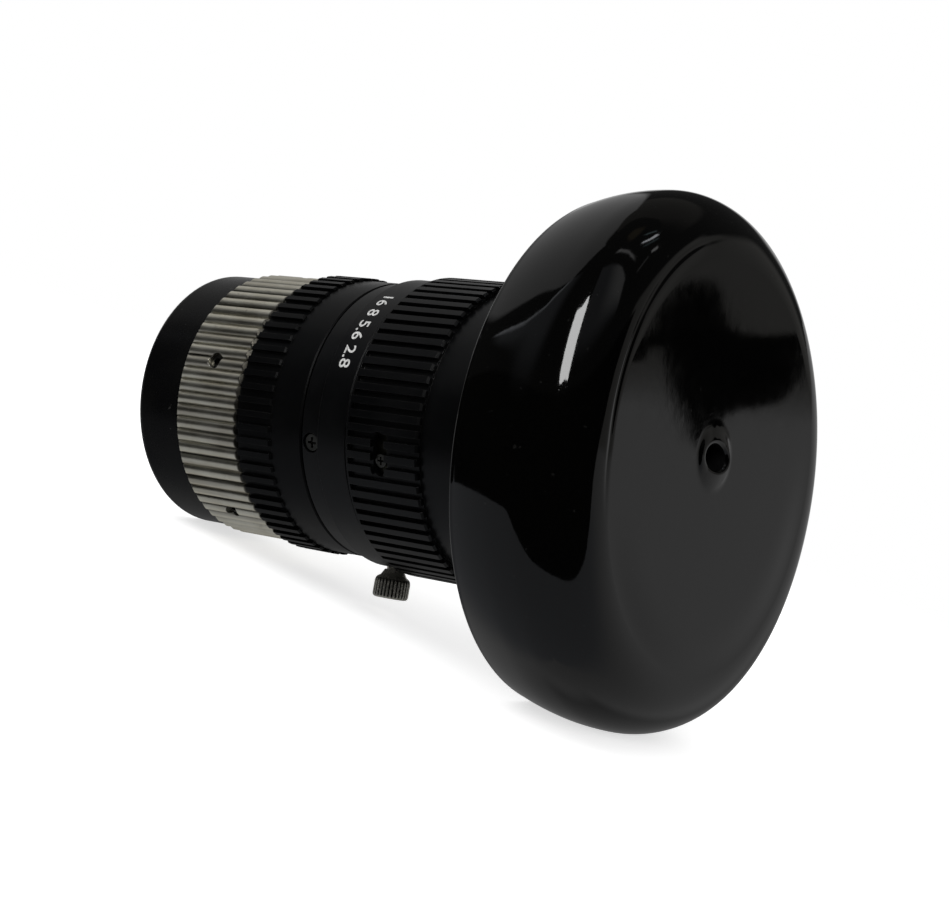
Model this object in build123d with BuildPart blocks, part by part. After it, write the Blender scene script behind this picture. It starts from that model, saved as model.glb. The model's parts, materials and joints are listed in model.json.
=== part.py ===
"""Machine vision lens, lying with its optical axis along +X and its front towards +X.

The origin is the centre of the flange face on the camera side. Millimetres, +Z up.
Radial features are placed by an angle about the optical axis: 0 points to -Y, 90 points up.
"""

from build123d import *
from math import cos, pi, radians, sin, sqrt
import os

os.makedirs("parts", exist_ok=True)

# General clearances
slip = 0.05  # radial gap of a running fit
snug = 0.02  # radial gap of a piece that is screwed or pressed in
clear = 0.3  # gap between pieces that move past each other
over = 1.0  # reach of a cutting body beyond the wall it cuts

# Lengths along the optical axis, from the flange face at x = 0
thread_length = 4.0
rear_cap_depth = 7.5
mount_length = 10.2
mount_gap = 0.5
iris_teeth_length = 5.5
step_length = 2.8
band_length = 4.4
focus_length = 10.6
neck_length = 5.2
flare_length = 10.1
bell_length = 9.5
cap_overlap = 2.6
cap_air = 1.9
cap_skin = 1.5

# Iris housing, from its rear face forwards
blade_count = 6
blade_thickness = 0.15
blade_pitch = 0.45
plate_thickness = 1.0
drive_half = 0.9

# Stations along the optical axis
thread_end_x = -thread_length
cap_end_x = -rear_cap_depth
barrel_rear_x = 1.0
mount_front_x = mount_length
iris_rear_x = mount_front_x + mount_gap
iris_teeth_x = iris_rear_x + iris_teeth_length
chamber_x = mount_front_x + 4.6
first_blade_x = chamber_x + plate_thickness + 0.25
drive_x = first_blade_x + blade_count * blade_pitch + drive_half + 0.15
drive_front_x = drive_x + drive_half
guide_x = drive_front_x + 1.0
iris_front_x = drive_x + 1.1
barrel_step_x = iris_front_x + clear
band_rear_x = barrel_step_x + step_length
band_front_x = band_rear_x + band_length
focus_rear_x = band_front_x + clear
seat_front_x = focus_rear_x + 3.3
ring_thread_x = seat_front_x + 1.1
web_x = seat_front_x + 4.0
focus_front_x = focus_rear_x + focus_length
bell_start_x = focus_front_x + neck_length
bell_edge_x = bell_start_x + flare_length
lip_x = bell_edge_x - cap_overlap
bell_front_x = bell_edge_x + bell_length
inner_face_x = bell_front_x + cap_air
face_x = inner_face_x + cap_skin

# Radii of the mount and the fixed barrel, worked out from the camera thread
thread_r = 12.7
thread_pitch = 25.4 / 32
thread_depth = 0.45
sleeve_wall = 1.8
mount_wall = 2.5
mount_bore_r = thread_r - sleeve_wall
sleeve_r = thread_r + sleeve_wall
mount_r = sleeve_r + mount_wall
rear_cap_r = mount_r - 0.6
cell_bore_r = mount_bore_r + 0.95
chamber_r = sleeve_r - 1.0
guide_bore_r = sleeve_r - 0.2
iris_seat_r = sleeve_r + 0.7
focus_seat_r = iris_seat_r + 0.7
ring_thread_r = focus_seat_r - 0.7

# Radii of the rings on the barrel
iris_wall = 2.4
step_wall = 2.0
band_height = 0.7
helicoid_wall = 1.3
grip_wall = 1.3
focus_skirt_wall = 0.5
iris_r = iris_seat_r + iris_wall
skirt_r = iris_r - 0.35
step_r = iris_seat_r + step_wall
band_r = step_r + band_height
neck_r = focus_seat_r + helicoid_wall / 2
grip_bore_r = focus_seat_r + helicoid_wall
grip_r = grip_bore_r + grip_wall
focus_skirt_r = grip_bore_r + focus_skirt_wall

# Radii of the bell and of the soft cap over it
bell_r = 28.6
lip_wall = 0.95
vinyl_wall = 2.25
cap_bore_r = bell_r + slip
lip_r = cap_bore_r + lip_wall
vinyl_r = cap_bore_r + vinyl_wall

# Radii of the iris blades and of the lens glass in the front barrel
pivot_r = chamber_r - 1.1
pivot_pin_r = 0.5
blade_outer_r = pivot_r - 1.15
blade_inner_r = blade_outer_r - 3.0
front_sleeve_r = guide_bore_r - 0.1
front_bore_r = front_sleeve_r - 1.4

# Focus travel
focus_angle = 180.0
focus_lead = 5.0
focus_travel = focus_lead * focus_angle / 360

# Radial features
slot_angle = -16.5
screw_angle = -19.0
set_screw_angle = 12.0
set_screw_count = 5
set_screw_x = mount_length / 2 - 0.1
thumb_angle = -90.0
thumb_x = band_rear_x + 1.5
key_angle = 90.0
key_x = focus_rear_x + 1.8
drive_angle = 100.0
iris_turn = 60.0
slot_x = focus_rear_x + 4.9
slot_width = 2.0
slot_length = 5.4
fine_edge = 0.15


def direction(angle):
    """Unit vector at this angle about the optical axis."""
    return Vector(0, -cos(radians(angle)), sin(radians(angle)))


def radial(x, angle, r=0.0):
    """Plane whose normal points away from the optical axis, at radius r."""
    out = direction(angle)
    return Plane(origin=Vector(x, 0, 0) + out * r, x_dir=(1, 0, 0), z_dir=out)


def turned(*points, mode=Mode.ADD):
    """Turn an outline of (x, radius) points about the optical axis."""
    with BuildSketch(Plane.XY, mode=Mode.PRIVATE) as outline:
        with BuildLine():
            Polyline(*points, close=True)
        make_face()
    revolve(outline.sketch, axis=Axis.X, mode=mode)


def tube(x0, x1, outer, inner=0.0, mode=Mode.ADD):
    """Straight round tube, or a disc when it has no inner radius."""
    turned((x0, inner), (x0, outer), (x1, outer), (x1, inner), mode=mode)


def radial_pin(x, angle, r0, r1, radius, mode=Mode.ADD):
    """Round pin or hole along a radius, from r0 out to r1."""
    with BuildSketch(radial(x, angle, r0), mode=Mode.PRIVATE) as disc:
        Circle(radius)
    extrude(disc.sketch, amount=r1 - r0, mode=mode)


def radial_hole(x, angle, r0, r1, radius):
    """Round hole along a radius, from r0 out to r1."""
    radial_pin(x, angle, r0, r1, radius, mode=Mode.SUBTRACT)


def thread_grooves(x0, x1, r, pitch, depth):
    """Row of V grooves that stands for a thread on the outside of a tube."""
    turns = int((x1 - x0) / pitch)
    half_width = 0.4 * pitch
    for turn in range(turns):
        x = x0 + (turn + 0.5) * pitch
        rim = r + 0.01
        turned((x - half_width, rim), (x + half_width, rim), (x, r - depth), mode=Mode.SUBTRACT)


def fluted(x0, x1, r, count, width, depth):
    """Straight grooves along the axis, cut into the outside of a ring."""
    with BuildSketch(Plane.YZ.offset(x0), mode=Mode.PRIVATE) as grooves:
        with PolarLocations(r, count):
            Rectangle(2 * depth, width)
    extrude(grooves.sketch, amount=x1 - x0, mode=Mode.SUBTRACT)


def edge_break(x, r, size, inward, mode=Mode.SUBTRACT):
    """Chamfer round the outer edge of a ring at x. inward is the direction into the ring."""
    turned((x, r - size), (x + inward * size, r + 0.01), (x, r + 0.01), mode=mode)


def lens_element(x_back, x_front, r, bulge_back, bulge_front, rim=1.8):
    """Round glass element with a flat rim and spherical faces. A negative bulge is a hollow face."""
    edge = r - rim

    def depth(bulge, height):
        curve = (edge * edge + bulge * bulge) / (2 * abs(bulge))
        drop = curve - sqrt(curve * curve - height * height)
        return bulge - drop if bulge > 0 else bulge + drop

    half = edge / 2
    top_front = x_front + bulge_front
    top_back = x_back - bulge_back
    with BuildSketch(Plane.XY, mode=Mode.PRIVATE) as outline:
        with BuildLine():
            Polyline((x_back, edge), (x_back, r), (x_front, r), (x_front, edge))
            ThreePointArc((x_front, edge), (x_front + depth(bulge_front, half), half), (top_front, 0))
            Line((top_front, 0), (top_back, 0))
            ThreePointArc((top_back, 0), (x_back - depth(bulge_back, half), half), (x_back, edge))
        make_face()
    revolve(outline.sketch, axis=Axis.X)


def save(part, name):
    part.label = name
    export_step(part, f"parts/{name}.step")


# Mount ring: flange, male camera thread and a band of convex lobes
lobe_count = 66
lobe_r = 0.85
lobe_web = 0.35
lobe_centre_r = mount_r - lobe_r
mount_edge = 0.35
thread_relief_x = -0.5
thread_chamfer = 0.4
set_screw_r = 1.0
set_screw_angles = [set_screw_angle + 360 / set_screw_count * n for n in range(set_screw_count)]

with BuildPart() as mount_ring:
    with BuildSketch(Plane.YZ):
        Circle(lobe_centre_r + lobe_web)
        with PolarLocations(lobe_centre_r, lobe_count):
            Circle(lobe_r)
    extrude(amount=mount_front_x)
    edge_break(0, mount_r, mount_edge, 1)
    edge_break(mount_front_x, mount_r, mount_edge, -1)
    tube(thread_end_x, 0, thread_r)
    tube(thread_relief_x, 0, thread_r + 0.1, thread_r - thread_depth, mode=Mode.SUBTRACT)
    edge_break(thread_end_x, thread_r, thread_chamfer, 1)
    thread_grooves(thread_end_x + thread_chamfer, thread_relief_x, thread_r, thread_pitch, thread_depth)
    tube(thread_end_x, mount_front_x, mount_bore_r, mode=Mode.SUBTRACT)
    tube(barrel_rear_x - snug, mount_front_x, sleeve_r + snug, mode=Mode.SUBTRACT)
    for angle in set_screw_angles:
        radial_hole(set_screw_x, angle, sleeve_r - over, mount_r + over, set_screw_r)
save(mount_ring.part, "mount_ring")

# Grub screws that lock the mount ring on the barrel
grub_length = 1.9
grub_socket_r = 0.5
grub_socket_depth = 0.9

with BuildPart() as mount_set_screws:
    for angle in set_screw_angles:
        radial_pin(set_screw_x, angle, sleeve_r + snug, sleeve_r + grub_length, set_screw_r - slip)
    for angle in set_screw_angles:
        socket = radial(set_screw_x, angle, sleeve_r + grub_length)
        with BuildSketch(socket, mode=Mode.PRIVATE) as hexagon:
            RegularPolygon(grub_socket_r, 6)
        extrude(hexagon.sketch, amount=-grub_socket_depth, mode=Mode.SUBTRACT)
save(mount_set_screws.part, "mount_set_screws")

# Main barrel: sleeve, iris seat, step, number band and focus seat in one turned tube
thumb_shank_r = 1.0
iris_screw_x = barrel_step_x + 1.3
iris_screw_head_r = 1.0
iris_screw_shank_r = 0.6
iris_screw_seat_r = step_r - 0.9
guide_pin_r = 1.0
drive_pin_r = 0.6
sleeve_end_x = mount_front_x + 0.4
focus_seat_end_x = seat_front_x + 0.2
drive_slot_steps = 12

with BuildPart() as main_barrel:
    turned(
        (barrel_rear_x, cell_bore_r),
        (barrel_rear_x, sleeve_r),
        (sleeve_end_x, sleeve_r),
        (sleeve_end_x, iris_seat_r),
        (barrel_step_x, iris_seat_r),
        (barrel_step_x, step_r),
        (band_rear_x, step_r),
        (band_rear_x, band_r - fine_edge),
        (band_rear_x + fine_edge, band_r),
        (band_front_x - fine_edge, band_r),
        (band_front_x, band_r - fine_edge),
        (band_front_x, focus_seat_r),
        (focus_seat_end_x, focus_seat_r),
        (focus_seat_end_x, ring_thread_r),
        (ring_thread_x, ring_thread_r),
        (ring_thread_x, guide_bore_r),
        (guide_x, guide_bore_r),
        (guide_x, chamber_r),
        (chamber_x, chamber_r),
        (chamber_x, cell_bore_r),
    )
    radial_hole(thumb_x, thumb_angle, guide_bore_r - over, band_r + over, thumb_shank_r + slip)
    radial_hole(iris_screw_x, slot_angle, chamber_r, band_r + over, iris_screw_shank_r + snug)
    radial_hole(iris_screw_x, slot_angle, iris_screw_seat_r, band_r + over, iris_screw_head_r + 0.2)
    radial_hole(key_x, key_angle, guide_bore_r - over, focus_seat_r + over, guide_pin_r + snug)
    for step in range(drive_slot_steps + 1):
        angle = drive_angle + iris_turn * step / drive_slot_steps
        radial_hole(drive_x, angle, chamber_r - over, iris_seat_r + over, drive_pin_r + clear)
save(main_barrel.part, "main_barrel")


def cross_head(x, angle, r_seat, height, head_r, shank_r, r_tip):
    """Pan head screw with a cross recess, its head seated at r_seat."""
    radial_pin(x, angle, r_seat, r_seat + height, head_r)
    radial_pin(x, angle, r_tip, r_seat, shank_r)
    with BuildSketch(radial(x, angle, r_seat + height), mode=Mode.PRIVATE) as recess:
        Rectangle(1.3 * head_r, 0.3 * head_r)
        Rectangle(0.3 * head_r, 1.3 * head_r)
    extrude(recess.sketch, amount=-0.6 * height, mode=Mode.SUBTRACT)


# Cross head screw that clamps the iris housing in the barrel
iris_screw_height = 0.65
iris_screw_tip_r = guide_bore_r + 0.2
iris_screw_sizes = (iris_screw_height, iris_screw_head_r, iris_screw_shank_r)

with BuildPart() as iris_clamp_screw:
    cross_head(iris_screw_x, slot_angle, iris_screw_seat_r, *iris_screw_sizes, iris_screw_tip_r)
save(iris_clamp_screw.part, "iris_clamp_screw")

# Iris ring: square teeth at the back, plain skirt in front
iris_tooth_count = 66
iris_groove_depth = 0.5
iris_groove_width = 0.95
iris_edge = 0.2
iris_bore_r = iris_seat_r + slip
drive_tip_r = iris_r - 1.0

with BuildPart() as iris_ring:
    turned(
        (iris_rear_x, iris_bore_r),
        (iris_rear_x, iris_r - iris_edge),
        (iris_rear_x + iris_edge, iris_r),
        (iris_teeth_x - iris_edge, iris_r),
        (iris_teeth_x, iris_r - iris_edge),
        (iris_teeth_x, skirt_r),
        (iris_front_x - fine_edge, skirt_r),
        (iris_front_x, skirt_r - fine_edge),
        (iris_front_x, iris_bore_r),
    )
    fluted(iris_rear_x, iris_teeth_x, iris_r, iris_tooth_count, iris_groove_width, iris_groove_depth)
    radial_hole(drive_x, drive_angle, iris_bore_r - over, drive_tip_r + snug, drive_pin_r + snug)
save(iris_ring.part, "iris_ring")

# Iris drive ring inside the barrel, and the pin that joins it to the iris ring
drive_bore_r = blade_inner_r + 0.8
drive_seat_r = chamber_r - 1.5

with BuildPart() as iris_drive_ring:
    tube(drive_x - drive_half, drive_x + drive_half, chamber_r - slip, drive_bore_r)
    radial_hole(drive_x, drive_angle, drive_seat_r, chamber_r + over, drive_pin_r + snug)
save(iris_drive_ring.part, "iris_drive_ring")

with BuildPart() as iris_drive_pin:
    radial_pin(drive_x, drive_angle, drive_seat_r + snug, drive_tip_r, drive_pin_r)
save(iris_drive_pin.part, "iris_drive_pin")

# Iris base plate with the blade pivots, and the ring that closes the iris housing
pivot_start = 30.0

with BuildPart() as iris_base_plate:
    tube(chamber_x, chamber_x + plate_thickness, chamber_r - snug, blade_inner_r)
    with BuildSketch(Plane.YZ.offset(chamber_x), mode=Mode.PRIVATE) as pivots:
        with PolarLocations(pivot_r, blade_count, start_angle=pivot_start):
            Circle(pivot_pin_r + slip)
    extrude(pivots.sketch, amount=plate_thickness, mode=Mode.SUBTRACT)
save(iris_base_plate.part, "iris_base_plate")

with BuildPart() as iris_retaining_ring:
    tube(drive_front_x + 0.1, guide_x, chamber_r - snug, drive_bore_r)
save(iris_retaining_ring.part, "iris_retaining_ring")


# Iris blades: each arc lies in its own plane and swings about the pin at its end
blade_reach = 112.0
blade_middle_r = (blade_inner_r + blade_outer_r) / 2
blade_half = (blade_outer_r - blade_inner_r) / 2
ear_r = pivot_pin_r + 0.35
pin_rear_x = chamber_x + 0.1


def at_angle(r, angle):
    """Point (y, z) at this radius and angle in a plane across the optical axis."""
    return (r * cos(radians(angle)), r * sin(radians(angle)))


def blade(number):
    turn = pivot_start + 360 / blade_count * number
    tip = turn + blade_reach
    x = first_blade_x + blade_pitch * number
    far = 2 * blade_outer_r
    with BuildPart() as piece:
        with BuildSketch(Plane.YZ.offset(x)):
            Circle(blade_outer_r)
            Circle(blade_inner_r, mode=Mode.SUBTRACT)
            sector = [(0, 0), at_angle(far, turn), at_angle(far, (turn + tip) / 2), at_angle(far, tip)]
            Polygon(*sector, align=None, mode=Mode.INTERSECT)
            with Locations(at_angle(blade_middle_r, tip)):
                Circle(blade_half)
            with Locations(at_angle(pivot_r, turn)):
                Circle(ear_r)
            with PolarLocations((pivot_r + blade_middle_r) / 2, 1, start_angle=turn):
                Rectangle(pivot_r - blade_middle_r, 2 * ear_r)
        extrude(amount=blade_thickness)
        with BuildSketch(Plane.YZ.offset(pin_rear_x)):
            with Locations(at_angle(pivot_r, turn)):
                Circle(pivot_pin_r)
        extrude(amount=x - pin_rear_x)
    return piece.part


for number in range(blade_count):
    save(blade(number), f"iris_blade_{number + 1}")

# Rear lens cell with its three elements
cell_rear_x = thread_end_x + 0.6
cell_front_x = chamber_x - clear
cell_glass_r = cell_bore_r - 2.25
cell_lip = 0.8
nose_r = mount_bore_r - clear
nose_edge = 0.3
cell_stop_x = cell_front_x - cell_lip
cell_stop_r = cell_glass_r - 1.2
spacer_wall = 0.9
rear_ring_lip = 1.5

with BuildPart() as rear_lens_cell:
    turned(
        (cell_rear_x, cell_glass_r),
        (cell_rear_x, nose_r - nose_edge),
        (cell_rear_x + nose_edge, nose_r),
        (barrel_rear_x, nose_r),
        (barrel_rear_x, cell_bore_r - snug),
        (cell_front_x, cell_bore_r - snug),
        (cell_front_x, cell_stop_r),
        (cell_stop_x, cell_stop_r),
        (cell_stop_x, cell_glass_r),
    )
save(rear_lens_cell.part, "rear_lens_cell")

# Rear elements and spacers, stacked from the stop of the cell backwards
rear_glass_r = cell_glass_r - snug
spacer_1_front_x = cell_stop_x - 2.6
spacer_1_rear_x = spacer_1_front_x - 2.6
element_2_rear_x = spacer_1_rear_x - 3.4
spacer_2_rear_x = element_2_rear_x - 2.2
element_3_rear_x = spacer_2_rear_x - 2.2
rear_ring_x = cell_rear_x + 0.4

with BuildPart() as rear_element_1:
    lens_element(spacer_1_front_x, cell_stop_x - snug, rear_glass_r, 1.1, -1.0)
save(rear_element_1.part, "rear_element_1")

with BuildPart() as rear_spacer_1:
    tube(spacer_1_rear_x, spacer_1_front_x - snug, rear_glass_r, cell_glass_r - spacer_wall)
save(rear_spacer_1.part, "rear_spacer_1")

with BuildPart() as rear_element_2:
    lens_element(element_2_rear_x, spacer_1_rear_x - snug, rear_glass_r, -0.9, -0.8)
save(rear_element_2.part, "rear_element_2")

with BuildPart() as rear_spacer_2:
    tube(spacer_2_rear_x, element_2_rear_x - snug, rear_glass_r, cell_glass_r - spacer_wall)
save(rear_spacer_2.part, "rear_spacer_2")

with BuildPart() as rear_element_3:
    lens_element(element_3_rear_x, spacer_2_rear_x - snug, rear_glass_r, 1.5, 1.2)
save(rear_element_3.part, "rear_element_3")

with BuildPart() as rear_retaining_ring:
    turned(
        (rear_ring_x, rear_glass_r),
        (element_3_rear_x - snug, rear_glass_r),
        (element_3_rear_x - snug, cell_glass_r - spacer_wall),
        (rear_ring_x, cell_glass_r - rear_ring_lip),
    )
save(rear_retaining_ring.part, "rear_retaining_ring")

# Focus ring: fluted grip shell over a helicoid ring, with a window for the clamp screw and a smooth skirt
flute_count = 72
flute_width = 0.75
flute_start = 0.5
flute_depth = 0.6
grip_rear_edge = 0.3
grip_front_edge = 0.25
focus_skirt_x = bell_start_x - 0.5
window_span = (slot_length - slot_width) / grip_r * 180 / pi
window_steps = 8

with BuildPart() as focus_ring:
    tube(focus_rear_x, focus_front_x, grip_r, grip_bore_r)
    tube(focus_front_x, focus_skirt_x, focus_skirt_r, grip_bore_r)
    edge_break(focus_rear_x, grip_r, grip_rear_edge, 1)
    edge_break(focus_front_x, grip_r, grip_front_edge, -1)
    fluted(focus_rear_x + flute_start, focus_front_x, grip_r, flute_count, flute_width, flute_depth)
    for step in range(window_steps + 1):
        angle = slot_angle + window_span * (step / window_steps - 0.5)
        radial_hole(slot_x, angle, grip_bore_r - over, grip_r + over, slot_width / 2)
save(focus_ring.part, "focus_ring")

helicoid_r = grip_bore_r - snug
helicoid_front_x = focus_front_x - 0.7
clamp_head_r = 0.78
clamp_shank_r = 0.45
clamp_height = 0.6
clamp_tip_r = neck_r + 0.2

with BuildPart() as focus_helicoid_ring:
    turned(
        (focus_rear_x, focus_seat_r + slip),
        (focus_rear_x, helicoid_r),
        (helicoid_front_x, helicoid_r),
        (helicoid_front_x, neck_r + slip),
        (seat_front_x, neck_r + slip),
        (seat_front_x, focus_seat_r + slip),
    )
    radial_hole(slot_x, screw_angle, neck_r, helicoid_r + over, clamp_shank_r + snug)
save(focus_helicoid_ring.part, "focus_helicoid_ring")

with BuildPart() as focus_clamp_screw:
    cross_head(slot_x, screw_angle, helicoid_r, clamp_height, clamp_head_r, clamp_shank_r, clamp_tip_r)
save(focus_clamp_screw.part, "focus_clamp_screw")

with BuildPart() as focus_retaining_ring:
    tube(seat_front_x + clear, ring_thread_x, neck_r - 0.15, ring_thread_r + snug)
save(focus_retaining_ring.part, "focus_retaining_ring")

# Guide pin that keeps the front barrel from turning
guide_pin_tip_r = front_sleeve_r - 1.0

with BuildPart() as guide_pin:
    radial_pin(key_x, key_angle, guide_pin_tip_r, focus_seat_r - 0.1, guide_pin_r)
save(guide_pin.part, "guide_pin")

# Front barrel: inner sleeve, helicoid skirt, neck and the bell
front_rear_x = guide_x + clear
skirt_rear_x = ring_thread_x + 0.5
skirt_inner_r = ring_thread_r + 0.1
front_stop_r = front_bore_r - 1.2
front_stop_x = bell_start_x - 0.5
second_seat_x = bell_start_x + 2.5
second_bore_r = neck_r + 0.95
second_end_x = bell_edge_x - 1.0
first_seat_x = bell_edge_x + 2.6
first_bore_r = bell_r - 4.0
first_end_x = bell_front_x - 2.2
filter_r = bell_r - 1.5
neck_end_r = neck_r + 0.3
bell_edge = 0.5
bell_front_edge = 1.2
seat_lip = 1.6
flare_foot = 0.6
flare_end = 1.0
flare_drop = 1.6

with BuildPart() as front_barrel:
    turned(
        (front_rear_x, front_bore_r),
        (front_rear_x, front_sleeve_r),
        (web_x, front_sleeve_r),
        (web_x, skirt_inner_r),
        (skirt_rear_x, skirt_inner_r),
        (skirt_rear_x, neck_r),
        (bell_start_x, neck_r),
        (bell_start_x + flare_foot, neck_end_r),
        (bell_edge_x - flare_end, bell_r - flare_drop),
        (bell_edge_x, bell_r - bell_edge),
        (bell_edge_x + bell_edge, bell_r),
        (bell_front_x - bell_front_edge, bell_r),
        (bell_front_x, bell_r - bell_front_edge),
        (bell_front_x, filter_r),
        (first_end_x, filter_r),
        (first_end_x, first_bore_r),
        (first_seat_x, first_bore_r),
        (first_seat_x, first_bore_r - seat_lip),
        (second_end_x, second_bore_r + seat_lip),
        (second_end_x, second_bore_r),
        (second_seat_x, second_bore_r),
        (second_seat_x, front_stop_r),
        (front_stop_x, front_stop_r),
        (front_stop_x, front_bore_r),
    )
    slot_from = key_x - guide_pin_r - focus_travel - clear
    slot_to = key_x + guide_pin_r + clear
    with BuildSketch(radial((slot_from + slot_to) / 2, key_angle), mode=Mode.PRIVATE) as key_slot:
        Rectangle(slot_to - slot_from, 2 * (guide_pin_r + slip))
    extrude(key_slot.sketch, amount=front_sleeve_r + 0.3, mode=Mode.SUBTRACT)
save(front_barrel.part, "front_barrel")

# Front elements, from the bell inwards, with their rings and spacer
first_glass_r = first_bore_r - snug
second_glass_r = second_bore_r - snug
inner_glass_r = front_bore_r - snug
first_edge_x = first_seat_x + 2.8
second_edge_x = second_seat_x + 3.0
cap_plug_x = face_x - 4.0
first_bulge = cap_plug_x - 0.5 - first_edge_x
ring_lip = 1.3
ring_slope = 0.6
ring_recess = 0.4
second_ring_length = 1.7

with BuildPart() as front_element_1:
    lens_element(first_seat_x + snug, first_edge_x, first_glass_r, -5.2, first_bulge)
save(front_element_1.part, "front_element_1")

with BuildPart() as front_retaining_ring:
    turned(
        (first_edge_x + snug, first_glass_r),
        (first_end_x - ring_recess, first_glass_r),
        (first_end_x - ring_recess, first_bore_r - seat_lip),
        (first_edge_x + ring_slope, first_bore_r - ring_lip),
    )
save(front_retaining_ring.part, "front_retaining_ring")

with BuildPart() as front_element_2:
    lens_element(second_seat_x + snug, second_edge_x, second_glass_r, -3.4, 3.0)
save(front_element_2.part, "front_element_2")

with BuildPart() as second_retaining_ring:
    turned(
        (second_edge_x + snug, second_glass_r),
        (second_edge_x + second_ring_length, second_glass_r),
        (second_edge_x + second_ring_length, second_bore_r - ring_lip),
        (second_edge_x + ring_slope, second_bore_r - ring_lip),
    )
save(second_retaining_ring.part, "second_retaining_ring")

third_rear_x = front_stop_x - 2.8

with BuildPart() as front_element_3:
    lens_element(third_rear_x, front_stop_x - snug, inner_glass_r, 2.0, 1.2)
save(front_element_3.part, "front_element_3")

spacer_rear_x = third_rear_x - 8.6

with BuildPart() as front_spacer:
    tube(spacer_rear_x, third_rear_x - snug, inner_glass_r, front_bore_r - spacer_wall)
save(front_spacer.part, "front_spacer")

fourth_rear_x = spacer_rear_x - 3.2

with BuildPart() as front_element_4:
    lens_element(fourth_rear_x, spacer_rear_x - snug, inner_glass_r, 1.4, 1.8)
save(front_element_4.part, "front_element_4")

with BuildPart() as inner_retaining_ring:
    tube(fourth_rear_x - 1.4, fourth_rear_x - snug, inner_glass_r, front_bore_r - 1.4)
save(inner_retaining_ring.part, "inner_retaining_ring")

# Thumbscrew: shank in the barrel, narrow neck, conical shoulder, knurled head and chamfered end
thumb_tip_r = front_sleeve_r + clear
thumb_neck_r = band_r + 0.3
thumb_shoulder_r = band_r + 1.5
thumb_end_r = band_r + 4.1
thumb_head_r = 2.35
thumb_chamfer = 0.3
thumb_knurl_count = 24
thumb_knurl_r = 0.16

with BuildPart() as thumbscrew:
    radial_pin(thumb_x, thumb_angle, thumb_tip_r, thumb_neck_r, thumb_shank_r)
    with BuildSketch(radial(thumb_x, thumb_angle, thumb_neck_r)):
        Circle(thumb_shank_r + 0.2)
    with BuildSketch(radial(thumb_x, thumb_angle, thumb_shoulder_r)):
        Circle(thumb_head_r)
    loft()
    with BuildSketch(radial(thumb_x, thumb_angle, thumb_shoulder_r)):
        Circle(thumb_head_r)
        with PolarLocations(thumb_head_r + 0.05, thumb_knurl_count):
            Circle(thumb_knurl_r, mode=Mode.SUBTRACT)
    extrude(amount=thumb_end_r - thumb_chamfer - thumb_shoulder_r)
    with BuildSketch(radial(thumb_x, thumb_angle, thumb_end_r - thumb_chamfer)):
        Circle(thumb_head_r - 0.05)
    with BuildSketch(radial(thumb_x, thumb_angle, thumb_end_r)):
        Circle(thumb_head_r - thumb_chamfer)
    loft()
save(thumbscrew.part, "thumbscrew")

# Rear cap: outer cup with an inner sleeve that goes over the thread
cap_wall = 1.5
cap_round = 1.2
cap_sleeve_r = thread_r + 1.4
cap_mouth_x = -clear
cap_floor_x = cap_end_x + cap_wall
cup_bore_r = rear_cap_r - cap_wall

with BuildPart() as rear_cap:
    with BuildSketch(Plane.XY, mode=Mode.PRIVATE) as cup:
        with BuildLine():
            Line((cap_end_x, 0), (cap_end_x, rear_cap_r - cap_round))
            RadiusArc((cap_end_x, rear_cap_r - cap_round), (cap_end_x + cap_round, rear_cap_r), cap_round)
            Line((cap_end_x + cap_round, rear_cap_r), (cap_mouth_x, rear_cap_r))
            Line((cap_mouth_x, rear_cap_r), (cap_mouth_x, cup_bore_r))
            Line((cap_mouth_x, cup_bore_r), (cap_floor_x, cup_bore_r))
            Line((cap_floor_x, cup_bore_r), (cap_floor_x, 0))
            Line((cap_floor_x, 0), (cap_end_x, 0))
        make_face()
    revolve(cup.sketch, axis=Axis.X)
    tube(cap_floor_x, cap_mouth_x, cap_sleeve_r, thread_r + slip)
save(rear_cap.part, "rear_cap")

# Front cap: dip-moulded vinyl over the bell, with a puffed rim, dished face and centre dimple
rim_round = 7.3
corner_round = 3.5
bulge_x = face_x - rim_round
crease_r = vinyl_r - rim_round
lip_middle = (lip_x - lip_wall / 2, cap_bore_r + lip_wall / 2)
side_swell = 0.28
side_middle = ((lip_x + bulge_x) / 2, (lip_r + vinyl_r) / 2 + side_swell)
rim_middle = (bulge_x + rim_round * sin(pi / 4), crease_r + rim_round * cos(pi / 4))
corner_x = inner_face_x - corner_round
corner_r = cap_bore_r - corner_round
corner_middle = (corner_x + corner_round * sin(pi / 4), corner_r + corner_round * cos(pi / 4))
dish_x = face_x - 0.7
dimple_r = 3.7
dish_middle = (face_x - 0.45, (crease_r + dimple_r) / 2 + 2)
dimple_hole_r = 1.6
dimple_floor_r = dimple_hole_r - 0.4
dimple_wall_x = dish_x - 0.7
dimple_floor_x = face_x - 2.4
plug_r = 2.4
plug_root_r = 5.0

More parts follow.
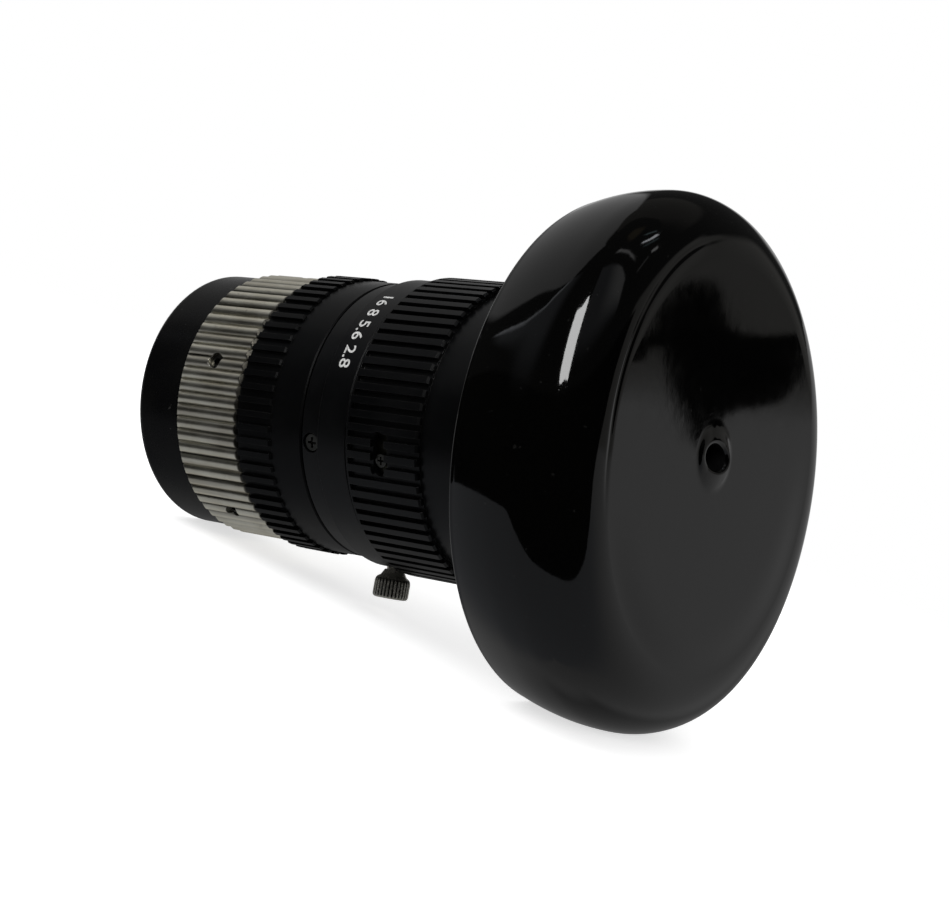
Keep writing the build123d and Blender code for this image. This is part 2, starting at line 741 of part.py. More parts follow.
with BuildPart() as front_cap:
    with BuildSketch(Plane.XY, mode=Mode.PRIVATE) as shell:
        with BuildLine():
            Line((inner_face_x, plug_root_r), (inner_face_x, corner_r))
            ThreePointArc((inner_face_x, corner_r), corner_middle, (corner_x, cap_bore_r))
            Line((corner_x, cap_bore_r), (lip_x, cap_bore_r))
            ThreePointArc((lip_x, cap_bore_r), lip_middle, (lip_x, lip_r))
            ThreePointArc((lip_x, lip_r), side_middle, (bulge_x, vinyl_r))
            ThreePointArc((bulge_x, vinyl_r), rim_middle, (face_x, crease_r))
            ThreePointArc((face_x, crease_r), dish_middle, (dish_x, dimple_r))
            Line((dish_x, dimple_r), (dimple_wall_x, dimple_hole_r))
            Line((dimple_wall_x, dimple_hole_r), (dimple_floor_x, dimple_floor_r))
            Line((dimple_floor_x, dimple_floor_r), (dimple_floor_x, 0))
            Line((dimple_floor_x, 0), (cap_plug_x, 0))
            Line((cap_plug_x, 0), (cap_plug_x, plug_r))
            Line((cap_plug_x, plug_r), (inner_face_x, plug_root_r))
        make_face()
    revolve(shell.sketch, axis=Axis.X)
save(front_cap.part, "front_cap")
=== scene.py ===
import json
import math

import bmesh
import bpy
from mathutils import Matrix, Vector, noise


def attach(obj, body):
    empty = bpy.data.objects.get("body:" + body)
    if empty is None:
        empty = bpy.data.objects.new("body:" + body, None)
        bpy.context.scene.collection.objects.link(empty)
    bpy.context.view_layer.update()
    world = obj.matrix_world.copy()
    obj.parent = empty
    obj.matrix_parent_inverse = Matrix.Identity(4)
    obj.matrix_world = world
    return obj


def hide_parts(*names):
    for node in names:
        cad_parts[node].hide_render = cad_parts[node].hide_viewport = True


MM = 0.001
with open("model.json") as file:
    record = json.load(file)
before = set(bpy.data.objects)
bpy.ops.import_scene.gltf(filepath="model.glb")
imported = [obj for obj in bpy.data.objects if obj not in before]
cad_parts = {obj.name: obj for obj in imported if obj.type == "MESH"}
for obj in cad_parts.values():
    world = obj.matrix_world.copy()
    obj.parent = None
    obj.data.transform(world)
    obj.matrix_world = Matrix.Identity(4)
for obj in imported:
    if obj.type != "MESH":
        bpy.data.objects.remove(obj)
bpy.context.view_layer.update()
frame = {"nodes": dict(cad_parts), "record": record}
nodes = frame["nodes"]

# The middle of the part, on the optical axis
CENTRE_X = 30.0
CENTRE = Vector((CENTRE_X, 0.0, 0.0)) * MM


def add_object(name, data):
    thing = bpy.data.objects.new(name, data)
    bpy.context.scene.collection.objects.link(thing)
    return thing


# The photograph's camera

CAMERA_AZIMUTH = math.radians(35.65)
CAMERA_ELEVATION = math.radians(-2.61)
CAMERA_ROLL = math.radians(9.93)
CAMERA_DISTANCE = 245.2 * MM
CAMERA_RIGHT = 3.11 * MM
CAMERA_UP = -2.55 * MM
CAMERA_LENS, CAMERA_SENSOR = 75.79, 36
CAMERA_NEAREST, CAMERA_FARTHEST = 0.01, 20


def make_camera():
    a, e, roll = CAMERA_AZIMUTH, CAMERA_ELEVATION, CAMERA_ROLL
    sideways = Vector((math.cos(a), math.sin(a), 0))
    upright = Vector((-math.sin(a) * math.sin(e), math.cos(a) * math.sin(e), math.cos(e)))
    back = Vector((math.sin(a) * math.cos(e), -math.cos(a) * math.cos(e), math.sin(e)))
    right = sideways * math.cos(roll) + upright * math.sin(roll)
    up = upright * math.cos(roll) - sideways * math.sin(roll)
    data = bpy.data.cameras.new("camera")
    data.lens = CAMERA_LENS
    data.sensor_width = CAMERA_SENSOR
    data.clip_start = CAMERA_NEAREST
    data.clip_end = CAMERA_FARTHEST
    camera = add_object("camera", data)
    turn = Matrix((right, up, back)).transposed().to_4x4()
    place = CENTRE + back * CAMERA_DISTANCE + right * CAMERA_RIGHT + up * CAMERA_UP
    camera.matrix_world = Matrix.Translation(place) @ turn
    bpy.context.scene.camera = camera


# Shader helpers

BEVEL_SAMPLES = 4
EDGE_FROM, EDGE_TO = 0.02, 0.25
NOISE_LOW, NOISE_HIGH = 0.3, 0.7


def shade(tone, *channels):
    """A tone with its share in each colour channel."""
    return tuple(tone * channel for channel in channels)


class Finish:
    """One material with short calls to add and join its nodes."""

    def __init__(self, name):
        self.material = bpy.data.materials.new(name)
        self.material.use_nodes = True
        self.nodes = self.material.node_tree.nodes
        self.links = self.material.node_tree.links
        self.shader = self.nodes["Principled BSDF"]
        self.output = self.nodes["Material Output"]
        self.place = self.add("ShaderNodeTexCoord").outputs["Object"]

    def put(self, socket, value):
        if isinstance(value, bpy.types.NodeSocket):
            self.links.new(value, socket)
        elif isinstance(value, tuple) and len(value) == 3 and socket.type == "RGBA":
            socket.default_value = (*value, 1)
        else:
            socket.default_value = value

    def add(self, kind, values=(), **settings):
        node = self.nodes.new(kind)
        for name, value in settings.items():
            setattr(node, name, value)
        for name, value in dict(values).items():
            self.put(node.inputs[name], value)
        return node

    def surface(self, **values):
        for name, value in values.items():
            self.put(self.shader.inputs[name.replace("_", " ")], value)

    def only(self, shader):
        """Puts this shader in the place of the principled one."""
        self.nodes.remove(self.shader)
        self.links.new(shader, self.output.inputs["Surface"])

    def math(self, operation, a, b=0.0, clamp=False):
        node = self.add("ShaderNodeMath", {0: a, 1: b}, operation=operation, use_clamp=clamp)
        return node.outputs[0]

    def vector(self, operation, a, b):
        return self.add("ShaderNodeVectorMath", {0: a, 1: b}, operation=operation).outputs

    def part(self, axis):
        """One coordinate of the place: 0 forward, 1 across, 2 up."""
        return self.add("ShaderNodeSeparateXYZ", {"Vector": self.place}).outputs[axis]

    def noise(self, scale, detail=3.0, roughness=0.55, vector=None):
        values = {"Vector": vector or self.place, "Scale": scale, "Detail": detail, "Roughness": roughness}
        return self.add("ShaderNodeTexNoise", values).outputs["Fac"]

    def ramp(self, factor, low, high, start=0.0, end=1.0):
        values = {"Value": factor, "From Min": low, "From Max": high, "To Min": start, "To Max": end}
        node = self.add("ShaderNodeMapRange", values, interpolation_type="SMOOTHSTEP")
        return node.outputs["Result"]

    def spread(self, factor, start=0.0, end=1.0):
        """A noise's usual values stretched over a range."""
        return self.ramp(factor, NOISE_LOW, NOISE_HIGH, start, end)

    def average(self, a, share, b):
        """The average of a and b, where a has this share."""
        return self.math("ADD", self.math("MULTIPLY", a, share), self.math("MULTIPLY", b, 1 - share))

    def mix(self, factor, a, b):
        """Colour a where the factor is 0, and colour b where it is 1."""
        return self.add("ShaderNodeMix", {0: factor, 6: a, 7: b}, data_type="RGBA").outputs[2]

    def bump(self, height, distance, strength=1.0, normal=None):
        values = {"Height": height, "Distance": distance, "Strength": strength}
        if normal is not None:
            values["Normal"] = normal
        return self.add("ShaderNodeBump", values).outputs["Normal"]

    def rounded(self, radius):
        """The normal with its edges rounded."""
        return self.add("ShaderNodeBevel", {"Radius": radius}, samples=BEVEL_SAMPLES).outputs["Normal"]

    def radius(self):
        """Distance from the optical axis."""
        y, z = self.part(1), self.part(2)
        square = self.math("ADD", self.math("MULTIPLY", y, y), self.math("MULTIPLY", z, z))
        return self.math("SQRT", square)

    def turned(self, scale):
        """Fine rings left by the lathe: they change along the axis and along the radius."""
        along = self.math("ADD", self.part(0), self.radius())
        values = {"W": along, "Scale": scale, "Detail": 2.0}
        return self.add("ShaderNodeTexNoise", values, noise_dimensions="1D").outputs["Fac"]

    def edges(self, radius):
        """1 on sharp edges and 0 on flat ground, from a rounded copy of the normal."""
        true = self.add("ShaderNodeNewGeometry").outputs["Normal"]
        cosine = self.vector("DOT_PRODUCT", self.rounded(radius), true)["Value"]
        return self.ramp(self.math("SUBTRACT", 1.0, cosine), EDGE_FROM, EDGE_TO)


# Finishes for the record's slots, the cap's hole and the numbers. Lengths are in metres.

ANODISED_TONE, ANODISED_ROUGHNESS, ANODISED_SHINE = 0.0022, 0.34, 0.24
ANODISED_WORN = 0.012
IRIS_TONE, IRIS_SHINE = 0.0017, 0.12
# A darker colour for the nickel ring: painted shade on its front end, from the station on the next line
# forward, and a darker tone in some grooves.
PAINTED_SHADE_AND_GROOVE_DARK = (0.03, 0.028, 0.024)
NICKEL_SHADE_X, NICKEL_SHADE_FADE = 10.05 * MM, 0.35 * MM
NICKEL_GROOVE_R, NICKEL_GROOVE_FADE = 16.55 * MM, 0.26 * MM
NICKEL_LOBES_FROM, NICKEL_LOBES_TO = NICKEL_GROOVE_R - 0.12 * MM, NICKEL_GROOVE_R - 0.06 * MM
SCREW_WORN_LIMIT = (0.8, 0.79, 0.76)


def black_anodised(name="black_anodised", tone=ANODISED_TONE, shine=ANODISED_SHINE):
    f = Finish(name)
    cloud = f.noise(140.0, detail=4.0)
    grain = f.noise(5200.0, detail=2.0, roughness=0.6)
    rings = f.turned(5200.0)
    patches = f.ramp(f.noise(420.0, detail=5.0, roughness=0.65), 0.34, 0.66)
    rub = f.math("MULTIPLY", f.edges(0.00014), patches, clamp=True)
    dark = f.mix(f.spread(cloud), shade(tone, 0.74, 0.8, 0.92), shade(tone, 1.18, 1.22, 1.32))
    colour = f.mix(rub, dark, shade(ANODISED_WORN, 1.0, 0.98, 0.93))
    varied = f.spread(f.average(cloud, 0.7, grain), ANODISED_ROUGHNESS - 0.05, ANODISED_ROUGHNESS + 0.07)
    roughness = f.math("SUBTRACT", varied, f.math("MULTIPLY", rub, 0.1), clamp=True)
    ringed = f.bump(rings, 0.0000045, 0.55, f.rounded(0.00006))
    normal = f.bump(grain, 0.000004, 0.5, ringed)
    f.surface(Base_Color=colour, Roughness=roughness, Normal=normal, IOR=1.5, Specular_IOR_Level=shine)
    return f.material


def nickel():
    """Plated ring: streaks along the lobes, a darker tone in some grooves, and painted shade at the front
    end.
    """
    f = Finish("nickel")
    cloud = f.noise(220.0, detail=4.0)
    grain = f.noise(6500.0, detail=2.0, roughness=0.6)
    rings = f.turned(7000.0)
    edge = f.edges(0.00012)
    base = f.mix(f.ramp(cloud, 0.3, 0.72), (0.76, 0.72, 0.59), (0.94, 0.91, 0.78))
    lengthwise = f.vector("MULTIPLY", f.place, (0.05, 1.0, 1.0))["Vector"]
    handled = f.ramp(f.noise(560.0, 2.0, 0.6, lengthwise), 0.46, 0.62, 0.0, 0.45)
    stain = f.ramp(f.noise(900.0, 5.0, 0.7), 0.56, 0.78, 0.0, 0.5)
    stained = f.mix(f.math("MAXIMUM", stain, handled), base, (0.38, 0.345, 0.29))
    # Painted shade on the ring's front end, which also darkens its glints there.
    forward = f.math("ADD", f.part(0), f.math("MULTIPLY", cloud, 0.0002))
    front_shade = f.ramp(forward, NICKEL_SHADE_X - NICKEL_SHADE_FADE, NICKEL_SHADE_X, 0.0, 0.93)
    # A darker tone in some of the grooves between the lobes, set by the distance from the axis.
    out = f.radius()
    lobes = f.ramp(out, NICKEL_LOBES_FROM, NICKEL_LOBES_TO)
    low = f.ramp(out, NICKEL_GROOVE_R, NICKEL_GROOVE_R + NICKEL_GROOVE_FADE, 1.0, 0.0)
    some = f.ramp(f.noise(430.0, 1.0, 0.5, lengthwise), 0.48, 0.58, 0.25, 0.95)
    darker_grooves = f.math("MULTIPLY", f.math("MULTIPLY", lobes, low), some)
    colour = f.mix(f.math("MAXIMUM", front_shade, darker_grooves), stained, PAINTED_SHADE_AND_GROOVE_DARK)
    rubbed = f.math("MULTIPLY", f.math("MULTIPLY", edge, 0.6), f.math("SUBTRACT", 1.0, front_shade))
    bright = f.mix(rubbed, colour, (0.78, 0.76, 0.72))
    roughness = f.spread(f.average(cloud, 0.5, grain), 0.29, 0.42)
    ringed = f.bump(rings, 0.000004, 0.5, f.rounded(0.00008))
    normal = f.bump(grain, 0.000003, 0.5, ringed)
    f.surface(Base_Color=bright, Roughness=roughness, Normal=normal, Metallic=1.0)
    return f.material


def screw_metal(name, tone, rough, warm=0.94):
    """Turned and plated small metal: screws, pins and rings."""
    f = Finish(name)
    cloud = f.noise(700.0, detail=4.0)
    fine = f.noise(9000.0, detail=2.0, roughness=0.6)
    dull, clean = shade(tone, 0.7, 0.69, 0.66 * warm), shade(tone, 1.2, 1.18, 1.15 * warm)
    worn = tuple(map(min, shade(tone, 2.4, 2.35, 2.2), SCREW_WORN_LIMIT))
    colour = f.mix(f.math("MULTIPLY", f.edges(0.0001), 0.7), f.mix(f.spread(cloud), dull, clean), worn)
    roughness = f.spread(f.average(cloud, 0.6, fine), rough - 0.05, rough + 0.08)
    normal = f.bump(fine, 0.000003, 0.5, f.rounded(0.00005))
    f.surface(Base_Color=colour, Roughness=roughness, Normal=normal, Metallic=1.0)
    return f.material


def coated_glass():
    f = Finish("coated_glass")
    haze = f.ramp(f.noise(260.0, detail=4.0), 0.45, 0.8, 0.0, 0.03)
    tint = f.mix(f.spread(f.noise(60.0, detail=2.0)), (0.96, 0.985, 0.97), (0.99, 0.995, 0.985))
    f.surface(Base_Color=tint, Roughness=haze, IOR=1.52, Transmission_Weight=1.0)
    f.surface(Thin_Film_Thickness=240.0, Thin_Film_IOR=1.38)
    return f.material


def black_plastic():
    f = Finish("black_plastic")
    cloud = f.noise(110.0, detail=4.0)
    grain = f.noise(3800.0, detail=3.0, roughness=0.6)
    dust = f.ramp(f.noise(1700.0, detail=1.0, roughness=0.4), 0.775, 0.80)
    dark = f.mix(f.spread(cloud), (0.0022, 0.0022, 0.0024), (0.0036, 0.0036, 0.0034))
    colour = f.mix(f.math("MULTIPLY", dust, 0.3), dark, (0.09, 0.088, 0.083))
    roughness = f.spread(f.average(cloud, 0.6, grain), 0.24, 0.34)
    normal = f.bump(grain, 0.000004, 0.5, f.rounded(0.0001))
    f.surface(Base_Color=colour, Roughness=roughness, Normal=normal, IOR=1.47, Specular_IOR_Level=0.10)
    return f.material


def black_vinyl():
    """Dipped soft vinyl: a wet gloss over a slow unevenness, with a little dust."""
    f = Finish("black_vinyl")
    slow = f.noise(62.0, detail=2.0, roughness=0.45)
    skin = f.noise(520.0, detail=3.0, roughness=0.5)
    fine = f.noise(4200.0, detail=2.0, roughness=0.6)
    dust = f.ramp(f.noise(1500.0, detail=1.0, roughness=0.4), 0.76, 0.79)
    colour = f.mix(f.spread(slow), (0.0003, 0.0003, 0.0003), (0.0007, 0.0007, 0.0006))
    dusty = f.mix(f.math("MULTIPLY", dust, 0.12), colour, (0.05, 0.05, 0.048))
    roughness = f.spread(f.average(skin, 0.5, fine), 0.03, 0.075)
    waved = f.bump(slow, 0.00008, 0.3)
    skinned = f.bump(skin, 0.000010, 0.35, waved)
    specks = f.math("ADD", fine, f.math("MULTIPLY", dust, 2.0))
    normal = f.bump(specks, 0.000001, 0.5, skinned)
    f.surface(Base_Color=dusty, Roughness=roughness, Normal=normal, IOR=1.45)
    return f.material


def hole_vinyl():
    """The cap's small hole, where the skin has no gloss."""
    f = Finish("black_vinyl_hole")
    grain = f.noise(2600.0)
    colour = f.mix(f.spread(grain), (0.0003, 0.0003, 0.0003), (0.0008, 0.0008, 0.0008))
    normal = f.bump(grain, 0.00002, 0.5)
    f.surface(Base_Color=colour, Roughness=f.spread(grain, 0.75, 0.95), Normal=normal)
    f.surface(Specular_IOR_Level=0.08)
    return f.material


def number_paint():
    f = Finish("number_paint")
    wear = f.ramp(f.noise(3600.0, detail=4.0, roughness=0.65), 0.36, 0.62)
    colour = f.mix(wear, (0.42, 0.42, 0.41), (0.72, 0.72, 0.71))
    roughness = f.spread(f.noise(900.0), 0.42, 0.62)
    f.surface(Base_Color=colour, Roughness=roughness, Normal=f.bump(f.noise(9000.0), 0.000004, 0.5))
    return f.material


finishes = {
    "black_anodised": black_anodised(),
    "nickel": nickel(),
    "dark_nickel_screw": screw_metal("dark_nickel_screw", 0.09, 0.30),
    "steel_pin": screw_metal("steel_pin", 0.42, 0.24),
    "blackened_steel": screw_metal("blackened_steel", 0.035, 0.42),
    "blackened_brass": screw_metal("blackened_brass", 0.06, 0.38, 0.8),
    "coated_glass": coated_glass(),
    "black_plastic": black_plastic(),
    "black_vinyl": black_vinyl(),
}


def dress(node, material):
    thing = nodes[node]
    if not thing.material_slots:
        thing.data.materials.append(material)
    for place in thing.material_slots:
        place.material = material


for piece in frame["record"]["subparts"]:
    dress(piece["node"], finishes[piece["material_slot"]])
dress("iris_ring", black_anodised("black_anodised_iris", IRIS_TONE, IRIS_SHINE))


# Mesh helpers

POLE_R = 0.01


def smooth(low, high, value):
    """0 up to low, 1 from high on, and an eased rise between them."""
    t = min(1.0, max(0.0, (value - low) / (high - low)))
    return t * t * (3 - 2 * t)


def three_point_arc(first, middle, last, count):
    """Points on the circle through three points, from the first to the last."""
    (x0, y0), (x1, y1), (x2, y2) = first, middle, last
    a, b, c, d = x1 - x0, y1 - y0, x2 - x0, y2 - y0
    p = (a * (x0 + x1) + b * (y0 + y1)) / 2
    q = (c * (x0 + x2) + d * (y0 + y2)) / 2
    cross = a * d - b * c
    cx, cy = (d * p - b * q) / cross, (a * q - c * p) / cross
    radius = math.hypot(x0 - cx, y0 - cy)
    start, half_way, end = (math.atan2(y - cy, x - cx) for x, y in (first, middle, last))
    sweep = sum((t + math.pi) % (2 * math.pi) - math.pi for t in (half_way - start, end - half_way))
    steps = [start + sweep * i / (count - 1) for i in range(count)]
    return [(cx + radius * math.cos(t), cy + radius * math.sin(t)) for t in steps]


def turned_mesh(profile, turns, place):
    """A skin through the rings of a profile of stations and radii. place gives the point for a station,
    a radius and an angle. A ring smaller than POLE_R is one point."""
    mesh = bmesh.new()
    rows = []
    for station, radius in profile:
        if radius < POLE_R:
            rows.append([mesh.verts.new(place(station, 0.0, 0.0))])
            continue
        rows.append([mesh.verts.new(place(station, radius, 2 * math.pi * i / turns)) for i in range(turns)])
    for here, there in zip(rows, rows[1:]):
        for i in range(turns):
            j = (i + 1) % turns
            ring = [here[i % len(here)], here[j % len(here)], there[j % len(there)], there[i % len(there)]]
            mesh.faces.new(list(dict.fromkeys(ring)))
    return mesh


def add_mesh(name, mesh):
    """A new object from a bmesh, which is freed."""
    data = bpy.data.meshes.new(name)
    mesh.to_mesh(data)
    mesh.free()
    return add_object(name, data)


def add_closed(name, mesh):
    """A new object from a closed bmesh, with its faces turned outward and shaded smooth."""
    bmesh.ops.recalc_face_normals(mesh, faces=mesh.faces)
    thing = add_mesh(name, mesh)
    for face in thing.data.polygons:
        face.use_smooth = True
    return thing


# Front cap: dipped vinyl, turned from a profile that is uneven the way a soft skin is. Lengths are in mm.

CAP_LIP_X, CAP_LIP_R, CAP_LIP_ROUND = 52.0, 29.6, 0.5
CAP_BULGE_X, CAP_R = 60.2, 30.9
CAP_FACE_X, CAP_CREASE_R = 67.5, 23.6
CAP_DISH_X, CAP_DIMPLE_R = 67.15, 3.9
CAP_BORE_R, CAP_INSIDE_X, CAP_CORNER = 28.66, 66.0, 3.5
CAP_SIDE_MIDDLE = ((CAP_LIP_X + CAP_BULGE_X) / 2, (CAP_LIP_R + CAP_R) / 2 + 0.28)
CAP_DISH_MIDDLE = (67.28, 15.2)
CAP_TURNS = 288

# Rows of the profile: station offsets and radii for the plug and the hole, and counts for the long runs
CAP_PLUG_X = 63.55
CAP_PLUG = ((0.0, 0.001), (0.0, 1.2), (0.12, 2.0), (0.6, 2.6))
CAP_PLUG_FOOT = ((-0.8, 3.6), (-0.12, 5.0), (0.0, 6.4))
CAP_FLAT_FROM_R, CAP_FLAT_TO_R, CAP_FLAT_ROWS = 6.4, 25.1, 12
CAP_WALL_ROWS, CAP_SIDE_ROWS, CAP_OVER_ROWS, CAP_DISH_ROWS = 14, 26, 117, 157
CAP_COARSE, CAP_FINE_MARGIN = 4, 1.0
DIMPLE_STEPS = (0.15, 0.3, 0.45, 0.6, 0.75, 0.9, 1.0)
DIMPLE_HOLE = (
    (0.33, 1.98), (0.18, 1.78), (-0.15, 1.62), (-0.7, 1.52),
    (-1.5, 1.45), (-2.1, 1.3), (-2.4, 0.9), (-2.45, 0.001),
)

# The dimple's place, its wide hole and the ring round it, which is higher on one side
DIMPLE_UP, DIMPLE_ASIDE = 1.35, -0.7
DIMPLE_SHIFT_FROM_R, DIMPLE_SHIFT_TO_R = 4.5, 19.0
DIMPLE_STRETCH, DIMPLE_FLATTEN = 0.3, 0.16
DIMPLE_CREST_R, DIMPLE_MOUTH_R, DIMPLE_BACK_X = 2.2, 1.6, CAP_DISH_X - 0.1
DIMPLE_RISE, DIMPLE_LEANING_RISE, DIMPLE_LEANING_ANGLE = 0.38, 0.60, -0.6
HOLE_R, HOLE_BACK, HOLE_FRONT = 1.82, CAP_INSIDE_X - 1.5, CAP_DISH_X + 0.12

# How the whole cap leans and hangs, and which part of the skin is free to do so
CAP_LEAN, CAP_TURN, CAP_LEAN_LENGTH = -0.029, -0.012, 14.0
CAP_SAG, CAP_ASIDE = -0.5, 0.5
CAP_MIDDLE_R = 12
CAP_FREE_FRONT = (0.1, 1.0)
CAP_FREE_SKIN = (0.02, 0.7)

# Slow unevenness: frequency per mm, height, and the place in the noise
SKIN_SLOW = (0.045, 0.10, Vector((3.1, 7.7, 1.3)))
SKIN_SMALL = (0.13, 0.02, Vector((11.0, 2.0, 5.0)))
SKIN_FACE_SHARE, SKIN_FACE_RADII, SKIN_SIDE_RADII = 0.3, (24.0, 31.0), (20.0, 30.0)

# The crease has a fine groove on one side and is rolled off at the bottom
CAP_GROOVE_R, CAP_GROOVE_DEPTH, CAP_GROOVE_UP, CAP_GROOVE_WIDTH = 23.9, 0.13, 1.9, 0.34
CAP_GROOVE_ANGLE, CAP_GROOVE_SPREAD = math.radians(150), (0.62, 0.92)
CAP_CREASE_STATIONS = (CAP_BULGE_X, CAP_FACE_X - 1.6)
CAP_ROLL, CAP_ROLL_WIDTH, CAP_ROLL_ANGLE, CAP_ROLL_SPREAD = 0.3, 3.2, 0.3, (-0.1, 0.7)

# Loose skin: how far it stands out, at which angle, how narrow, and over which stations it ends or starts
CAP_SLACK_BELOW = (0.6, math.radians(232), 6, (57.0, 65.0))
CAP_SLACK_ASIDE = (0.3, math.radians(315), 4, (56.0, 62.0))


def angles(first, end, step):
    """Angles in radians, from a range of whole degrees."""
    return [math.radians(a) for a in range(first, end, step)]


def dimple_height(t):
    """Height of the dimple's ring at this share of the way from its foot to its crest."""
    return DIMPLE_RISE * (0.5 - 0.5 * math.cos(math.pi * t))


def cap_profile():
    """Station and radius from the inner middle out over the lip and back to the dimple's floor."""
    inside = [(CAP_PLUG_X + x, r) for x, r in CAP_PLUG]
    inside += [(CAP_INSIDE_X + x, r) for x, r in CAP_PLUG_FOOT]
    flat = CAP_FLAT_TO_R - CAP_FLAT_FROM_R
    rows = range(1, CAP_FLAT_ROWS + 1)
    inside += [(CAP_INSIDE_X, CAP_FLAT_FROM_R + flat * i / CAP_FLAT_ROWS) for i in rows]
    corner_x, corner_r = CAP_INSIDE_X - CAP_CORNER, CAP_BORE_R - CAP_CORNER
    for t in angles(8, 91, 9):
        inside.append((corner_x + CAP_CORNER * math.cos(t), corner_r + CAP_CORNER * math.sin(t)))
    wall = corner_x - CAP_LIP_X - CAP_LIP_ROUND
    inside += [(corner_x - wall * i / CAP_WALL_ROWS, CAP_BORE_R) for i in range(1, CAP_WALL_ROWS + 1)]
    lip_x, lip_r = CAP_LIP_X + CAP_LIP_ROUND, (CAP_BORE_R + CAP_LIP_R) / 2
    half = (CAP_LIP_R - CAP_BORE_R) / 2
    lip = [(lip_x - CAP_LIP_ROUND * math.sin(t), lip_r - half * math.cos(t)) for t in angles(15, 180, 15)]
    side = three_point_arc((lip_x, CAP_LIP_R), CAP_SIDE_MIDDLE, (CAP_BULGE_X, CAP_R), CAP_SIDE_ROWS)
    slant = math.sqrt(0.5) * (CAP_FACE_X - CAP_BULGE_X)
    crease = (CAP_FACE_X, CAP_CREASE_R)
    over_middle = (CAP_BULGE_X + slant, CAP_CREASE_R + slant)
    over = three_point_arc((CAP_BULGE_X, CAP_R), over_middle, crease, CAP_OVER_ROWS)
    dish = three_point_arc(crease, CAP_DISH_MIDDLE, (CAP_DISH_X, CAP_DIMPLE_R), CAP_DISH_ROWS)
    fine_to, fine_from = CAP_GROOVE_R + CAP_GROOVE_UP + CAP_FINE_MARGIN, CAP_GROOVE_R - CAP_FINE_MARGIN
    over = [point for i, point in enumerate(over) if i % CAP_COARSE == 0 or point[1] < fine_to]
    dish = [point for i, point in enumerate(dish) if i % CAP_COARSE == 0 or point[1] > fine_from]
    slope = CAP_DIMPLE_R - DIMPLE_CREST_R
    crater = [(CAP_DISH_X + dimple_height(t), CAP_DIMPLE_R - slope * t) for t in DIMPLE_STEPS]
    crater += [(CAP_DISH_X + x, r) for x, r in DIMPLE_HOLE]
    return inside + lip + side + over[1:] + dish[1:] + crater


def free_share(station, radius):
    """0 on the inner side, which fits the bell, and 1 on the outer side."""
    if radius < CAP_MIDDLE_R:
        start, end = CAP_FREE_FRONT
        return smooth(CAP_INSIDE_X + start, CAP_INSIDE_X + end, station)
    inner_x, inner_r = station - (CAP_INSIDE_X - CAP_CORNER), radius - (CAP_BORE_R - CAP_CORNER)
    depth = math.hypot(max(inner_x, 0), max(inner_r, 0)) - CAP_CORNER
    return smooth(*CAP_FREE_SKIN, depth)


def unevenness(x, y, z):
    total = 0.0
    for frequency, height, place in (SKIN_SLOW, SKIN_SMALL):
        total += height * noise.noise(Vector((x * frequency, y * frequency, z * frequency)) + place)
    return total


def toward_angle(angle, middle, power):
    """1 at the middle angle and 0 from a quarter turn away."""
    return max(0.0, math.cos(angle - middle)) ** power


def cap_point(station, radius, angle):
    """A point of the cap, with the skin's slow unevenness, the crease and the dimple's place."""
    x, y, z = station, radius * math.cos(angle), radius * math.sin(angle)
    mouth = 1 - smooth(DIMPLE_CREST_R, CAP_DIMPLE_R, radius)
    middle = 1 - smooth(DIMPLE_SHIFT_FROM_R, DIMPLE_SHIFT_TO_R, radius)
    y = y * (1 + DIMPLE_STRETCH * mouth) + DIMPLE_ASIDE * middle
    z = z * (1 - DIMPLE_FLATTEN * mouth) + DIMPLE_UP * middle
    free = free_share(station, radius)
    lean = free * min(1.0, max(0.0, (station - CAP_LIP_X) / CAP_LEAN_LENGTH))
    x += lean * (CAP_LEAN * z + CAP_TURN * y)
    y += CAP_ASIDE * free
    z += CAP_SAG * free
    swell = free * unevenness(x, y, z)

    front = smooth(*CAP_CREASE_STATIONS, station)
    crease = CAP_GROOVE_R + CAP_GROOVE_UP * max(0.0, math.sin(angle))
    groove = front * math.exp(-(((radius - crease) / CAP_GROOVE_WIDTH) ** 2))
    groove *= smooth(*CAP_GROOVE_SPREAD, math.cos(angle - CAP_GROOVE_ANGLE))
    rolled = front * math.exp(-(((radius - CAP_CREASE_R) / CAP_ROLL_WIDTH) ** 2))
    rolled *= smooth(*CAP_ROLL_SPREAD, -math.sin(angle - CAP_ROLL_ANGLE))
    x += swell * (1 - smooth(*SKIN_FACE_RADII, radius)) * SKIN_FACE_SHARE
    x -= CAP_GROOVE_DEPTH * groove + CAP_ROLL * rolled

    out, at, power, stations = CAP_SLACK_BELOW
    slack = out * toward_angle(angle, at, power) * (1 - smooth(*stations, station))
    out, at, power, stations = CAP_SLACK_ASIDE
    slack += out * toward_angle(angle, at, power) * smooth(*stations, station)
    grow = (swell + free * slack) * smooth(*SKIN_SIDE_RADII, radius)
    y += grow * math.cos(angle)
    z += grow * math.sin(angle)

    if DIMPLE_MOUTH_R < radius < CAP_DIMPLE_R and station > DIMPLE_BACK_X:
        t = min(1.0, (CAP_DIMPLE_R - radius) / (CAP_DIMPLE_R - DIMPLE_CREST_R))
        higher = DIMPLE_LEANING_RISE * t - dimple_height(t)
        higher *= smooth(DIMPLE_MOUTH_R, DIMPLE_CREST_R, radius)
        x += toward_angle(angle, DIMPLE_LEANING_ANGLE, 1) * higher
    return Vector((x, y, z)) * MM


